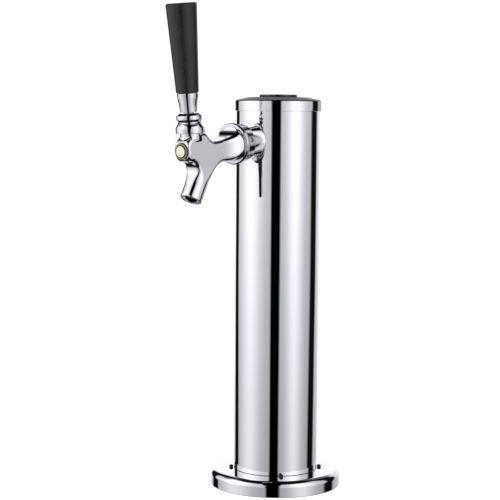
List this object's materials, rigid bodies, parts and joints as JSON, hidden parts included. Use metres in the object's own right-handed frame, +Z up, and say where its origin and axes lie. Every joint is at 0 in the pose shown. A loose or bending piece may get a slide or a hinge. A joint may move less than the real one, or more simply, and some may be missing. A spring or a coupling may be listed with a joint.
{
  "type": "beer tap tower",
  "caption": "Round chrome column on a flange with a lever-operated beer faucet, a black tapered handle and a lift-off cap.",
  "frame": {"origin": "on the surface the tower stands on, under the middle of the whole object's box; the column's axis stands 41.5 mm behind it, at +Y", "axes": "+Z up along the column, -Y the way the faucet points, +X to the right when looking along +Y at the faucet"},
  "size_m": [0.118, 0.2014, 0.4336],
  "materials": {
    "chrome": "polished chrome plate",
    "steel": "plain machined steel",
    "brass": "machined brass",
    "black_plastic": "satin moulded black",
    "rubber": "matt",
    "nylon": "natural nylon"
  },
  "bodies": {
    "tower": {"column_tube": "chrome", "base_flange": "chrome", "base_gasket": "rubber", "mounting_screw_1": "steel", "mounting_screw_2": "steel", "mounting_screw_3": "steel", "mounting_screw_4": "steel", "shank": "steel", "shank_collar": "chrome", "inner_saddle_washer": "steel", "shank_lock_nut": "brass", "tailpiece": "steel", "tailpiece_nut": "brass", "tailpiece_washer": "nylon", "coupling_nut": "chrome", "coupling_washer": "nylon", "faucet_body": "chrome", "nose_bushing": "brass", "ball_washer": "nylon", "friction_ring": "nylon", "lever_bonnet": "chrome"},
    "lever": {"lever": "steel", "lever_collar": "chrome", "handle_ferrule": "chrome", "handle_insert": "brass", "handle_grip": "black_plastic"},
    "valve_shaft": {"valve_shaft": "brass", "seat_washer": "rubber", "shaft_nut": "brass"},
    "top_cap": {"top_cap": "chrome", "cap_seal": "rubber"}
  },
  "joints": [
    {"name": "lever_tilt", "type": "hinge", "parent": "tower", "child": "lever", "pos_m": [0, -0.0754, 0.3229], "axis": [1, 0, 0], "range_deg": [0, 30]},
    {"name": "shaft_slide", "type": "slide", "parent": "tower", "child": "valve_shaft", "axis": [0, 0.9962, 0.0872], "range_m": [0, 0.0067]},
    {"name": "cap_lift", "type": "slide", "parent": "tower", "child": "top_cap", "axis": [0, 0, 1], "range_m": [0, 0.03]}
  ],
  "couplings": [
    {"joint": "shaft_slide", "follows": "lever_tilt", "m_per_rad": 0.0127}
  ]
}
